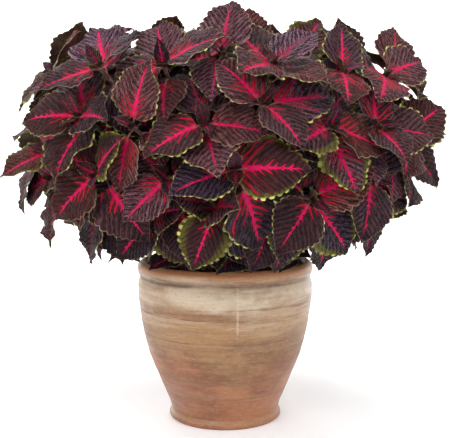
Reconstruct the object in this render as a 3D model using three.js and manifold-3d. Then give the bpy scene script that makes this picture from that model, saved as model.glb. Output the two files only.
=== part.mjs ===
// A coleus in a terracotta pot: square stems stand in the soil, each forks into leafy shoots, and
// every shoot carries opposite pairs of toothed leaves, each pair turned a quarter on the one
// below, so that the shoots together make a broad mound.
// Millimetres, +Z up, -Y the front. The origin is the centre of the pot's flat base.
import * as THREE from "three";
import { mergeVertices } from "three/addons/utils/BufferGeometryUtils.js";
import Module from "manifold-3d";

// ---------------------------------------------------------------- driving dimensions

const GAP = 0.3; // between solids that touch

// The pot's wall, outside from the base up, over the rolled rim and down inside: [radius, height].
const POT_OUTSIDE = [
  [86, 0], [90, 4], [89, 10], [86, 14], [88, 22], [102, 57], [123, 110], [135, 165], [140, 212],
  [135.5, 231], [139, 236], [140, 246], [134, 253],
];
const POT_INSIDE = [[125, 249], [124, 190], [108, 105], [74, 18]];
const POT_SIDES = 25;
const DRAIN = { count: 3, radius: 7, ring: 42, sides: 6 };

const SOIL_TOP = 229; // at the wall
const SOIL_CROWN = 6; // how far the middle stands above the wall
const SOIL_SIDES = 16;
const ROOT_DEPTH = 45; // of each stem in its hole

// The mound that the shoot tips lie on, round a centre on the pot's axis. Its power is 2 where it is
// round and more where it is squarer.
const MOUND = { middle: 425, radius: 284, above: [142, 5], below: [120, 2] };

const TRUNK_RADIUS = 5.4;
const SHOOT_RADIUS = 3;
const TIP_RADIUS = 2.2;
const FORKS = [12, 19, 26]; // heights above the soil of the rings that shoots fork off between

// The leaf pairs of a shoot. Each pair grows from a piece of the stem between two distances below
// the tip. The angles are from the shoot's axis, in degrees.
const PAIRS = [
  { node: [0, 4], blade: 36, width: 0.27, petiole: 2, rise: 60, spread: 30, arch: 12, small: true },
  { node: [4, 9], blade: 80, width: 0.46, petiole: 14, rise: 46, spread: 70, arch: 24 },
  { node: [24, 29], blade: 90, width: 0.46, petiole: 22, rise: 58, spread: 88, arch: 28 },
];
const BLADE_THICKNESS = 1.7; // at the rib
const PETIOLE_RADIUS = 1.2;
const FOLD = 14; // how far each half of a blade rises from the rib, in degrees
const UPRIGHT = 0.35; // how much closer to its axis an upright shoot holds its leaves
// A shoot points out of the mound, but turned to this share of its bearing, and up by this.
const FRONTWARD = 0.8;
const SKYWARD = 0.2;
const DROOP = 0.12; // how far a blade's weight turns it down

const LEAF_GAP = 2.6; // between leaves of different shoots
const PAIR_GAP = 1.2; // between leaves of one shoot

// The stems of the front half by where they stand in the soil, [bearing, radius], with their
// shoots as [bearing, elevation, spin, size]. Bearings are from the front, positive to the right,
// and elevations are from the mound's centre. Spin turns the shoot's leaf pairs about its axis.
const FRONT_STEMS = [
  {
    root: [-75, 88],
    shoots: [[-72, -14, 30, 1], [-78, -1, 75, 1], [-80, 10, 20, 1], [-86, 25, 60, 1]],
  },
  {
    root: [-45, 88],
    shoots: [
      [-55, -19, 60, 1], [-65, -7, 15, 1], [-38, -5, 40, 1], [-62, 1, 80, 1], [-45, 11, 0, 1.05],
    ],
  },
  {
    root: [-15, 88],
    shoots: [
      [-28, -22, 40, 0.95], [-3, -16, 70, 1], [-16, -6, 30, 1], [-25, 8, 70, 1], [-5, 9, 20, 1],
    ],
  },
  {
    root: [15, 88],
    shoots: [[20, -23, 60, 1], [27, -12, 42, 1.06], [3, -3, 5, 1.12], [10, 14, 132, 1]],
  },
  { root: [45, 88], shoots: [[46, -22, 20, 1], [50, -7, 70, 1], [30, 8, 10, 1], [46, 8, 85, 0.95]] },
  {
    root: [75, 88],
    shoots: [[68, -17, 80, 1], [74, -5, 30, 0.95], [64, 5, 40, 1.05], [83, 10, 20, 1], [82, 25, 50, 1]],
  },
  {
    root: [-60, 46],
    shoots: [[-64, 30, 55, 1.05], [-41, 25, 38, 1.05], [-70, 49, 10, 1], [-40, 70, 60, 1]],
  },
  {
    root: [0, 46],
    shoots: [
      [-19, 26, 10, 1], [17, 28, 51, 1], [-1, 32, 80, 0.95], [-28, 45, 30, 1], [14, 47, 75, 1],
    ],
  },
  {
    root: [60, 46],
    shoots: [[38, 24, 70, 0.95], [60, 23, 23, 1.1], [56, 47, 40, 1], [48, 70, 100, 1]],
  },
];
// The back half is the front half turned about, with each shoot's leaf pairs turned by this too.
const BACK_SPIN = 40;

// What a crowded leaf tries in turn until it is clear: lifted or lowered, swung, then smaller.
const LIFTS = [0, -10, 10, -20, 20, -30, 30, -42, 42];
const SWINGS = [0, 14, -14, 28, -28];
const SIZES = [1, 0.86, 0.72];

// ---------------------------------------------------------------- small helpers

const wasm = await Module();
wasm.setup();

const rad = THREE.MathUtils.degToRad;
const UP = new THREE.Vector3(0, 0, 1);

// A number from -1 to 1 that is always the same for the same shoot, leaf and use.
function jitter(shoot, leaf, use) {
  return 2 * THREE.MathUtils.seededRandom(7919 * shoot + 131 * leaf + 17 * use + 5) - 1;
}

// The sum of each vector times its number: mix([a, 2], [b, -1]) is 2a - b.
function mix(...terms) {
  const sum = new THREE.Vector3();
  for (const [vector, amount] of terms) sum.addScaledVector(vector, amount);
  return sum;
}

// The direction at a bearing from the front and an elevation, both in degrees.
function direction(bearing, elevation) {
  const [b, e] = [rad(bearing), rad(elevation)];
  return new THREE.Vector3(Math.sin(b) * Math.cos(e), -Math.cos(b) * Math.cos(e), Math.sin(e));
}

function geometryOf({ corners, faces }) {
  return new THREE.BufferGeometry()
    .setAttribute("position", new THREE.Float32BufferAttribute(corners.flatMap((p) => p.toArray()), 3))
    .setIndex(faces.flat());
}

function toSolid(geometry) {
  const bare = geometry.clone();
  bare.deleteAttribute("normal");
  bare.deleteAttribute("uv");
  const merged = mergeVertices(bare, 1e-4);
  return new wasm.Manifold(
    new wasm.Mesh({
      numProp: 3,
      vertProperties: merged.attributes.position.array,
      triVerts: new Uint32Array(merged.index.array),
    }),
  );
}

function toMesh(solid, name, material) {
  const { vertProperties, triVerts } = solid.getMesh();
  const geometry = new THREE.BufferGeometry()
    .setAttribute("position", new THREE.BufferAttribute(vertProperties, 3))
    .setIndex(new THREE.BufferAttribute(triVerts, 1));
  geometry.computeVertexNormals();
  const mesh = new THREE.Mesh(geometry, material);
  mesh.name = name;
  return mesh;
}

// A solid of revolution about Z from [radius, height] pairs that start and end on the axis.
function turned(profile, sides) {
  const points = profile.map(([radius, height]) => new THREE.Vector2(radius, height));
  return toSolid(new THREE.LatheGeometry(points, sides).rotateX(Math.PI / 2));
}

// ---------------------------------------------------------------- pot and soil

function potWallRadius(height) {
  const inside = [...POT_INSIDE].reverse();
  const above = inside.findIndex(([, h]) => h >= height);
  const [[r0, h0], [r1, h1]] = inside.slice(above - 1, above + 1);
  return r0 + ((r1 - r0) * (height - h0)) / (h1 - h0);
}

function makePot() {
  const floor = POT_INSIDE.at(-1)[1];
  const body = turned([[0, 0], ...POT_OUTSIDE, ...POT_INSIDE, [0, floor]], POT_SIDES);
  const holes = Array.from({ length: DRAIN.count }, (_, i) => {
    const turn = (2 * Math.PI * i) / DRAIN.count;
    const hole = new THREE.CylinderGeometry(DRAIN.radius, DRAIN.radius, 3 * floor, DRAIN.sides);
    hole.rotateX(Math.PI / 2).translate(DRAIN.ring * Math.sin(turn), DRAIN.ring * Math.cos(turn), 0);
    return toSolid(hole);
  });
  return holes.reduce((pot, hole) => pot.subtract(hole), body);
}

function makeSoil(stems) {
  const [foot, floor] = POT_INSIDE.at(-1);
  const wall = POT_INSIDE.filter(([, height]) => height < SOIL_TOP && height > floor).reverse();
  const flats = Math.cos(Math.PI / POT_SIDES); // the pot's flats lie this much nearer the axis
  const fit = ([radius, height]) => [radius * flats - GAP, height];
  const profile = [
    [0, floor + GAP],
    [foot * flats - GAP, floor + GAP],
    ...wall.map(fit),
    fit([potWallRadius(SOIL_TOP), SOIL_TOP]),
    [0, SOIL_TOP + SOIL_CROWN],
  ];
  const body = turned(profile, SOIL_SIDES);
  return stems.reduce((soil, stem) => soil.subtract(stemHole(stem)), body);
}

function stemHole({ foot, outward }) {
  const ends = [SOIL_TOP - ROOT_DEPTH - GAP, SOIL_TOP + 2 * SOIL_CROWN];
  const hull = { corners: [], faces: [] };
  const [low, high] = ends.map((z) => addRing(hull, trunkRing(foot, outward, z, 1.5 * GAP)));
  join(hull, low, high);
  close(hull, [...low].reverse());
  close(hull, high);
  return toSolid(geometryOf(hull));
}

// ---------------------------------------------------------------- square stems

// Adds the four corners of a square section and returns their numbers.
function addRing({ corners }, { point, along, across, radius }) {
  const beside = along.clone().cross(across);
  return [45, 135, 225, 315].map((turn) => {
    const [a, b] = [radius * Math.cos(rad(turn)), radius * Math.sin(rad(turn))];
    return corners.push(mix([point, 1], [across, a], [beside, b])) - 1;
  });
}

// Walls between two loops of four corners, matched with the least twist.
function join({ corners, faces }, low, high) {
  const twist = (shift) =>
    low.reduce((sum, a, i) => sum + corners[a].distanceTo(corners[high[(i + shift) % 4]]), 0);
  const shift = [0, 1, 2, 3].reduce((best, next) => (twist(next) < twist(best) - 1e-6 ? next : best));
  for (let i = 0; i < 4; i++) {
    const [a, b] = [low[i], low[(i + 1) % 4]];
    const [c, d] = [high[(i + 1 + shift) % 4], high[(i + shift) % 4]];
    faces.push([a, b, c], [a, c, d]);
  }
}

function close({ faces }, [a, b, c, d]) {
  faces.push([a, b, c], [a, c, d]);
}

function removeFace({ faces }, face) {
  faces.splice(faces.findIndex((other) => other.every((corner, i) => corner === face[i])), 1);
}

// A section of a stem's upright foot, one corner of it facing outward.
function trunkRing(foot, outward, z, grow = 0) {
  const across = outward.clone().applyAxisAngle(UP, rad(-45));
  return { point: foot.clone().setZ(z), along: UP, across, radius: TRUNK_RADIUS + grow };
}

// The sections of a shoot from the lowest leaf pair to the tip. One flat of them faces the way of
// the first leaf.
const STATIONS = [...new Set(PAIRS.flatMap(({ node }) => node))].sort((a, b) => b - a);

function shootRings({ tip, axis, above, beside, spin }) {
  const across = mix([above, Math.cos(rad(spin))], [beside, Math.sin(rad(spin))]);
  return STATIONS.map((below) => {
    const radius = THREE.MathUtils.lerp(TIP_RADIUS, SHOOT_RADIUS, below / STATIONS[0]);
    return { point: mix([tip, 1], [axis, -below]), along: axis, across, radius };
  });
}

// Where a shoot's tip lies on the mound, and the direction that it grows in there.
function shootTip(bearing, turn, elevation, index) {
  const out = direction(bearing + turn, elevation);
  const [height, power] = elevation > 0 ? MOUND.above : MOUND.below;
  const flat = (Math.hypot(out.x, out.y) / MOUND.radius) ** power;
  const reach = (flat + (Math.abs(out.z) / height) ** power) ** (-1 / power);
  const tip = mix([out, reach * (1 + 0.04 * jitter(index, 0, 1))], [UP, MOUND.middle]);
  const ahead = direction(FRONTWARD * bearing + turn, elevation);
  return { tip, axis: mix([ahead, 1], [UP, SKYWARD]).normalize() };
}

// The stems, each with its shoots from the lowest to the highest, which carries the stem on. The
// others fork off in twos from the flats that face outward to the left and to the right.
function growStems() {
  let index = 0;
  return [0, 180].flatMap((turn) =>
    FRONT_STEMS.map(({ root: [bearing, radius], shoots: entries }) => {
      const outward = direction(bearing + turn, 0);
      const foot = outward.clone().multiplyScalar(radius);
      const shoots = [...entries]
        .sort((a, b) => a[1] - b[1])
        .map(([shootBearing, elevation, spin, size], nth) => {
          const { tip, axis } = shootTip(shootBearing, turn, elevation, index);
          const above = UP.clone().projectOnPlane(axis).normalize();
          const shoot = { index: index++, bearing: shootBearing, tip, axis, above, size };
          shoot.beside = axis.clone().cross(above);
          shoot.spin = spin + (turn ? BACK_SPIN : 0);
          shoot.level = nth === entries.length - 1 ? 2 : Math.floor(nth / 2);
          shoot.fork = foot.clone().setZ(SOIL_TOP + FORKS[shoot.level]);
          shoot.rings = shootRings(shoot);
          return shoot;
        });
      return { foot, outward, shoots };
    }),
  );
}

function stemSolid({ foot, outward, shoots }, leaves) {
  const hull = { corners: [], faces: [] };
  const heights = [SOIL_TOP - ROOT_DEPTH, ...FORKS.map((height) => SOIL_TOP + height)];
  const trunk = heights.map((z) => addRing(hull, trunkRing(foot, outward, z)));
  close(hull, [...trunk[0]].reverse());
  trunk.slice(1).forEach((ring, i) => join(hull, trunk[i], ring));
  for (const shoot of shoots) {
    let below = trunk.at(-1);
    if (shoot.level < 2) {
      const [low, high] = trunk.slice(shoot.level + 1);
      const partner = shoots.find((other) => other !== shoot && other.level === shoot.level);
      const middle = partner ? partner.bearing : shoots.at(-1).bearing;
      const flat = shoot.bearing > middle ? 0 : 3;
      const next = (flat + 1) % 4;
      below = [low[flat], low[next], high[next], high[flat]];
      removeFace(hull, [below[0], below[1], below[2]]);
      removeFace(hull, [below[0], below[2], below[3]]);
    }
    const rings = shoot.rings.map((section) => addRing(hull, section));
    rings.forEach((ring, i) => join(hull, i ? rings[i - 1] : below, ring));
    close(hull, rings.at(-1));
    for (const leaf of leaves.filter((other) => other.shoot === shoot)) addLeaf(hull, rings, leaf);
  }
  return toSolid(geometryOf(hull));
}

// ---------------------------------------------------------------- leaves

// Half the blade's width, as a share of its widest, at a share u of the way from base to tip.
function bladeWidth(u) {
  return Math.sin(Math.PI * u ** 0.65) ** (0.8 + 0.5 * u * u);
}

// The margin of one half of a blade, from the base to just short of the tip: teeth and notches.
const TOOTH = 1.07;
const NOTCH = 0.93;
const MARGIN = [0.1, 0.25, 0.41, 0.58, 0.77].map((u, i) => ({
  u,
  half: bladeWidth(u) * (i % 2 ? NOTCH : TOOTH),
}));
const RIB = [0.3, 0.66]; // the rib's own corners
const SMALL_MARGIN = [{ u: 0.38, half: 1 }];
const SMALL_RIB = [0.4];

// Where a leaf sits and how it is turned, after the given lift, swing and size.
function leafPose(shoot, pair, side, [lift, swing, size]) {
  const { node: nodeSpan, blade, width, petiole, rise, spread, arch, small } = PAIRS[pair];
  const leaf = 2 * pair + side;
  const vary = (use) => jitter(shoot.index, leaf, use);
  const turn = rad(shoot.spin + 90 * pair + 180 * side + 9 * vary(2) + swing);
  const outward = mix([shoot.above, Math.cos(turn)], [shoot.beside, Math.sin(turn)]);
  const leaning = (angle) => mix([shoot.axis, Math.cos(rad(angle))], [outward, Math.sin(rad(angle))]);
  const node = mix([shoot.tip, 1], [shoot.axis, -(nodeSpan[0] + nodeSpan[1]) / 2]);
  const stalk = petiole * shoot.size * (1 + 0.25 * vary(3));
  const base = mix([node, 1], [leaning(rise + 0.6 * lift), stalk]);
  const held = small ? spread : spread * (1 - UPRIGHT * shoot.axis.z ** 2);
  const along = mix([leaning(held + lift + 6 * vary(4)), 1], [UP, small ? 0 : -DROOP]).normalize();
  const facing = mix([shoot.axis, 0.8], [UP, 0.35]).projectOnPlane(along).normalize();
  const roll = rad(13 * vary(5));
  const across = along.clone().cross(facing);
  return {
    node,
    base,
    along,
    facing: mix([facing, Math.cos(roll)], [across, Math.sin(roll)]),
    length: blade * shoot.size * size * (1 + 0.1 * vary(6)),
    width,
    arch: rad(arch * (1 + 0.45 * vary(7))),
    small,
  };
}

// The point of a bent and folded blade at a share u along its rib and a share v of its length
// across it, raised from its middle surface by the given height.
function bladePoint({ base, along, facing, length, arch }, u, v, height) {
  const across = along.clone().cross(facing);
  const fold = Math.abs(v) * Math.tan(rad(FOLD)) * (1 - Math.abs(v) / 0.62);
  const back = u - 0.2 * Math.abs(v) * (1 - u) ** 4;
  const [sin, cos] = [Math.sin(arch * back), Math.cos(arch * back)];
  const rise = length * fold + height;
  return mix(
    [base, 1],
    [along, (length * sin) / arch + rise * sin],
    [facing, (-length * (1 - cos)) / arch + rise * cos],
    [across, v * length],
  );
}

// The corners of a blade's edge and rib and the triangles of one of its faces.
function bladeNet(pose) {
  const margin = pose.small ? SMALL_MARGIN : MARGIN;
  const rib = pose.small ? SMALL_RIB : RIB;
  const foot = PETIOLE_RADIUS / pose.length;
  const rim = (sign) => [
    bladePoint(pose, 0, sign * foot, 0),
    ...margin.map(({ u, half }) => bladePoint(pose, u, sign * half * pose.width, 0)),
  ];
  const edge = [...rim(1), bladePoint(pose, 1, 0, 0), ...rim(-1).reverse()];
  const count = edge.length;
  const tip = margin.length + 1;
  const triangles = [];
  const ribOf = (i) => count + (rib.length > 1 && Math.abs(tip - i) < margin.length / 2 ? 1 : 0);
  for (let i = 0; i < count; i++) {
    const next = (i + 1) % count;
    triangles.push([i, next, ribOf(i)]);
    if (ribOf(i) !== ribOf(next)) triangles.push([next, ribOf(next), ribOf(i)]);
  }
  return { edge, rib, triangles };
}

// Adds a leaf to its stem. It grows from one of the two triangles of a flat: the flat's upper
// corners run to the blade's two base corners, and its lower left one to the keel under them. The
// blade of a small leaf starts at the flat itself.
function addLeaf(hull, rings, { pair, side, pose }) {
  const { corners, faces } = hull;
  const { edge, rib, triangles } = bladeNet(pose);
  const half = BLADE_THICKNESS / 2;
  const flat = (pair + 2 * side + 3) % 4;
  const [upper, lower] = PAIRS[pair].node.map((below) => rings[STATIONS.indexOf(below)]);
  const root = [lower[flat], upper[(flat + 1) % 4], upper[flat]];
  removeFace(hull, root);

  const top = [...edge, ...rib.map((u) => bladePoint(pose, u, 0, half))].map((p) => corners.push(p) - 1);
  const bottom = rib.map((u) => corners.push(bladePoint(pose, u, 0, -half)) - 1);
  let keel = root[0];
  const right = edge.length - 1;
  if (pose.small) {
    [top[right], top[0]] = [root[1], root[2]];
  } else {
    keel = corners.push(bladePoint(pose, 0, 0, -1.8 * PETIOLE_RADIUS)) - 1;
    join3(hull, root, [keel, top[right], top[0]]);
  }
  const under = (i) => (i < edge.length ? top[i] : bottom[i - edge.length]);
  for (const [a, b, c] of triangles) {
    faces.push([top[a], top[b], top[c]]);
    if (a === right) faces.push([keel, under(a), under(c)], [under(b), keel, under(c)]);
    else faces.push([under(b), under(a), under(c)]);
  }
}

function join3({ faces }, [a, b, c], [d, e, f]) {
  faces.push([a, b, e], [a, e, d], [b, c, f], [b, f, e], [c, a, d], [c, d, f]);
}

// ---------------------------------------------------------------- keeping leaves clear

// A surface for the clearance test: its corners, edges and triangles.
function surfaceOf({ corners, faces }) {
  const triangles = faces.map(([a, b, c]) => new THREE.Triangle(corners[a], corners[b], corners[c]));
  const middles = triangles.map((t) => t.getMidpoint(new THREE.Vector3()));
  const edges = faces.flatMap(([a, b, c]) => [[a, b], [b, c], [c, a]])
    .filter(([a, b]) => a < b)
    .map(([a, b]) => new THREE.Line3(corners[a], corners[b]));
  const used = [...new Set(faces.flat())].map((i) => corners[i]);
  return { points: [...used, ...middles], edges, triangles, box: new THREE.Box3().setFromPoints(used) };
}

function bladeSurface(pose) {
  const { edge, rib, triangles } = bladeNet(pose);
  return surfaceOf({ corners: [...edge, ...rib.map((u) => bladePoint(pose, u, 0, 0))], faces: triangles });
}

function petioleSurface({ node, base }) {
  const aside = new THREE.Vector3(0, 0, PETIOLE_RADIUS);
  const corners = [mix([node, 0.6], [base, 0.4]), base, base.clone().add(aside)];
  return surfaceOf({ corners, faces: [[0, 1, 2]] });
}

function shootSurface({ fork, rings }) {
  const hull = { corners: [], faces: [] };
  const sections = [{ ...rings[0], point: fork }, ...rings].map((section) => addRing(hull, section));
  sections.slice(1).forEach((section, i) => join(hull, sections[i], section));
  return surfaceOf(hull);
}

const nearest = new THREE.Vector3();
const ray = new THREE.Ray();

function pointsNear(a, b, gap) {
  return b.triangles.some((triangle) =>
    a.points.some((point) => {
      triangle.closestPointToPoint(point, nearest);
      return nearest.distanceToSquared(point) < gap * gap;
    }),
  );
}

function edgesCross(a, b) {
  return a.edges.some((edge) => {
    ray.set(edge.start, edge.delta(new THREE.Vector3()).normalize());
    const length = edge.distance();
    return b.triangles.some((t) => {
      const hit = ray.intersectTriangle(t.a, t.b, t.c, false, nearest);
      return hit !== null && hit.distanceTo(edge.start) <= length;
    });
  });
}

function tooNear(a, b, gap) {
  if (!a.box.clone().expandByScalar(gap).intersectsBox(b.box)) return false;
  return edgesCross(a, b) || edgesCross(b, a) || pointsNear(a, b, gap) || pointsNear(b, a, gap);
}

// Whether a point lies within the pot's outline or under the ground.
function insidePot(point) {
  if (point.z < 0) return true;
  const above = POT_OUTSIDE.findIndex(([, height]) => height >= point.z - LEAF_GAP);
  if (above < 0) return false;
  const wall = Math.max(POT_OUTSIDE[above][0], POT_OUTSIDE[Math.max(above - 1, 0)][0]);
  return Math.hypot(point.x, point.y) < wall + 2 * LEAF_GAP;
}

function isClear(leaf, placed, branches) {
  if (leaf.blade.points.some(insidePot)) return false;
  for (const { shoot, surface } of branches) {
    const own = shoot === leaf.shoot;
    if (own && leaf.pose.small) continue;
    if (tooNear(leaf.blade, surface, own ? PAIR_GAP : LEAF_GAP)) return false;
    if (!own && tooNear(leaf.petiole, surface, PAIR_GAP)) return false;
  }
  for (const other of placed) {
    const own = other.shoot === leaf.shoot;
    const gap = own ? PAIR_GAP : LEAF_GAP;
    if (tooNear(leaf.blade, other.blade, gap)) return false;
    if (tooNear(leaf.blade, other.petiole, gap) || tooNear(leaf.petiole, other.blade, gap)) return false;
    if (!own && tooNear(leaf.petiole, other.petiole, gap)) return false;
  }
  return true;
}

function placeLeaf(shoot, pair, side, placed, branches) {
  for (const size of SIZES) {
    for (const swing of SWINGS) {
      for (const lift of LIFTS) {
        const pose = leafPose(shoot, pair, side, [lift, swing, size]);
        const leaf = { shoot, pair, side, pose, blade: bladeSurface(pose), petiole: petioleSurface(pose) };
        if (isClear(leaf, placed, branches)) return leaf;
      }
    }
  }
  return null;
}

// Places the leaves of every shoot pair by pair, the ones nearest the tips and on the largest shoots
// first.
function placeLeaves(shoots) {
  const branches = shoots.map((shoot) => ({ shoot, surface: shootSurface(shoot) }));
  const bySize = shoots.toSorted((a, b) => b.size - a.size);
  const placed = [];
  PAIRS.forEach((_, pair) => {
    for (const shoot of bySize) {
      for (const side of [0, 1]) {
        const leaf = placeLeaf(shoot, pair, side, placed, branches);
        if (leaf) placed.push(leaf);
      }
    }
  });
  return placed;
}

// ---------------------------------------------------------------- assembly

const terracotta = new THREE.MeshStandardMaterial({ color: 0xc08a64, roughness: 0.7, metalness: 0 });
const compost = new THREE.MeshStandardMaterial({ color: 0x2c2019, roughness: 1, metalness: 0 });
const foliage = new THREE.MeshStandardMaterial({ color: 0x4a1626, roughness: 0.55, metalness: 0 });

const stems = growStems();
const leaves = placeLeaves(stems.flatMap((stem) => stem.shoots));

const coleus = new THREE.Group();
coleus.add(toMesh(makePot(), "pot", terracotta));
coleus.add(toMesh(makeSoil(stems), "soil", compost));
stems.forEach((stem, nth) => {
  const name = `leafy_stem_${String(nth + 1).padStart(2, "0")}`;
  coleus.add(toMesh(stemSolid(stem, leaves), name, foliage));
});

export default coleus;
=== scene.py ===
"""A coleus in a terracotta pot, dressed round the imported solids.

The leaves are copies of a few modelled masters, bent by the growth rules that also made the
solids. Blender works in metres; the growth rules are in millimetres.
"""

import itertools
import math
from functools import reduce

import bpy
import numpy as np
from mathutils import Matrix, Vector, noise
from mathutils.bvhtree import BVHTree
from mathutils.kdtree import KDTree


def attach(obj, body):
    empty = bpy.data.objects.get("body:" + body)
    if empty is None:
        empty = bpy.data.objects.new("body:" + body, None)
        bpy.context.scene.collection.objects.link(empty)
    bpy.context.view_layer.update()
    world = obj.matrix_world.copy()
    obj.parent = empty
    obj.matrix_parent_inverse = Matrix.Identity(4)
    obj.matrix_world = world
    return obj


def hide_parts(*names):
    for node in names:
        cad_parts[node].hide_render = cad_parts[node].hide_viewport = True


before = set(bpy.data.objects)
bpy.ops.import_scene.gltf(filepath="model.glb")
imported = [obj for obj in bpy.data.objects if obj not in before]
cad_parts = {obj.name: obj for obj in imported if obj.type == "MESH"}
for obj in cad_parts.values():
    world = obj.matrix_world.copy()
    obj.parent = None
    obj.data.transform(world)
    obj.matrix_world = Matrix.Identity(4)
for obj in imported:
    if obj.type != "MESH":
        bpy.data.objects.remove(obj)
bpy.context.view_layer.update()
bpy.ops.object.select_all(action="DESELECT")

scene = bpy.context.scene
MM = 0.001
UP = Vector((0, 0, 1))
rad = math.radians

# ---- sizes of the real thing, mm

POT_OUTSIDE = [
    (86, 0), (90, 4), (89, 10), (86, 14), (88, 22), (102, 57), (123, 110), (135, 165),
    (140, 212), (135.5, 231), (139, 236), (140, 246), (134, 253),
]
POT_INSIDE = [(125, 249), (124, 190), (108, 105), (74, 18)]
DRAIN_RING, DRAIN_RADIUS = 42, 7
THROWN_WALL = (24, 226)  # the heights between which the thrown ridges show
# height and depth of the deeper lines among them
THROWING_LINES = [(180, 0.5), (143, 0.6), (113, 0.45), (197, 0.25), (86, 0.3), (62, 0.25)]

SOIL_TOP, SOIL_CROWN, SOIL_RADIUS = 229, 6, 124
ROOT_DEPTH = 45
CRUMBS, CRUMB_SPREAD = 330, 119

MOUND_MIDDLE, MOUND_RADIUS = 425, 284
MOUND_ABOVE, MOUND_BELOW = (142, 5), (120, 2)
TRUNK_RADIUS, SHOOT_RADIUS, TIP_RADIUS = 5.4, 3, 2.2
FORKS = [12, 19, 26]

# For each pair of leaves down a shoot: where its node is below the tip, the blade's length, its
# half-width as a share of that, the petiole's length, then in degrees how far the petiole rises
# and the blade spreads from the shoot and how far it arches, and whether it droops.
PAIRS = [
    ((0, 4), 36, 0.27, 2, 60, 30, 12, False),
    ((4, 9), 80, 0.46, 14, 46, 70, 24, True),
    ((24, 29), 90, 0.46, 22, 58, 88, 28, True),
]
FOLD = 14
UPRIGHT = 0.35
FRONTWARD = 0.8
SKYWARD = 0.2
DROOP = 0.12
PETIOLE_RADIUS = 1.2
LOWEST_RING = 29

# Each stem's foot, as a bearing and a distance from the middle, and its shoots, each with the
# bearing and elevation of its tip from the mound's middle, its spin and its size.
FRONT_STEMS = [
    ((-75, 88), [(-72, -14, 30, 1), (-78, -1, 75, 1), (-80, 10, 20, 1), (-86, 25, 60, 1)]),
    ((-45, 88), [(-55, -19, 60, 1), (-65, -7, 15, 1), (-38, -5, 40, 1), (-62, 1, 80, 1),
                 (-45, 11, 0, 1.05)]),
    ((-15, 88), [(-28, -22, 40, 0.95), (-3, -16, 70, 1), (-16, -6, 30, 1), (-25, 8, 70, 1),
                 (-5, 9, 20, 1)]),
    ((15, 88), [(20, -23, 60, 1), (27, -12, 42, 1.06), (3, -3, 5, 1.12), (10, 14, 132, 1)]),
    ((45, 88), [(46, -22, 20, 1), (50, -7, 70, 1), (30, 8, 10, 1), (46, 8, 85, 0.95)]),
    ((75, 88), [(68, -17, 80, 1), (74, -5, 30, 0.95), (64, 5, 40, 1.05), (83, 10, 20, 1),
                (82, 25, 50, 1)]),
    ((-60, 46), [(-64, 30, 55, 1.05), (-41, 25, 38, 1.05), (-70, 49, 10, 1), (-40, 70, 60, 1)]),
    ((0, 46), [(-19, 26, 10, 1), (17, 28, 51, 1), (-1, 32, 80, 0.95), (-28, 45, 30, 1),
               (14, 47, 75, 1)]),
    ((60, 46), [(38, 24, 70, 0.95), (60, 23, 23, 1.1), (56, 47, 40, 1), (48, 70, 100, 1)]),
]
BACK_SPIN = 40

# What a crowded leaf is lifted and swung by, and shrunk to, until it is clear.
LIFTS = [0, -10, 10, -20, 20, -30, 30, -42, 42]
SWINGS = [0, 14, -14, 28, -28]
SIZES = [1, 0.86, 0.72]
SAME_CORNER = 0.05  # how near a leaf's tip is to its corner of the solid

# ---- modelling helpers


def select_only(piece):
    bpy.ops.object.select_all(action="DESELECT")
    bpy.context.view_layer.objects.active = piece
    piece.select_set(True)


def start_editing(piece, select=False):
    select_only(piece)
    bpy.ops.object.mode_set(mode="EDIT")
    bpy.ops.mesh.select_all(action="SELECT" if select else "DESELECT")


def stop_editing():
    bpy.ops.object.mode_set(mode="OBJECT")


def just_added(name):
    piece = bpy.context.view_layer.objects.active
    piece.name = piece.data.name = name
    return piece


def apply_modifier(piece, kind, **settings):
    select_only(piece)
    modifier = piece.modifiers.new(kind.title(), kind)
    for setting, value in settings.items():
        setattr(modifier, setting, value)
    bpy.ops.object.modifier_apply(modifier=modifier.name)


def smooth_by_angle(piece, degrees):
    select_only(piece)
    bpy.ops.object.shade_smooth_by_angle(angle=rad(degrees))


def places_of(mesh):
    found = np.empty(len(mesh.vertices) * 3)
    mesh.vertices.foreach_get("co", found)
    return found.reshape(-1, 3)


def set_places(mesh, places):
    mesh.vertices.foreach_set("co", np.asarray(places, np.float32).ravel())
    mesh.update()


def join_pieces(pieces, name):
    bpy.ops.object.select_all(action="DESELECT")
    for piece in pieces:
        piece.select_set(True)
    bpy.context.view_layer.objects.active = pieces[0]
    bpy.ops.object.join()
    return just_added(name)


def copy_of(master, name):
    copy = bpy.data.objects.new(name, master.data.copy())
    scene.collection.objects.link(copy)
    return copy


def smooth_line(points, step):
    """Points about a step apart along a smooth line through the given ones."""
    points = [Vector((r, h)) for r, h in points]
    ends = [2 * points[0] - points[1], *points, 2 * points[-1] - points[-2]]
    line = []
    for a, b, c, d in zip(ends, ends[1:], ends[2:], ends[3:]):
        count = max(1, round((c - b).length / step))
        for t in (i / count for i in range(count)):
            line.append(0.5 * (2 * b + (c - a) * t + (2 * a - 5 * b + 4 * c - d) * t**2
                               + (3 * b - a - 3 * c + d) * t**3))
    return [*line, points[-1]]


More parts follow.
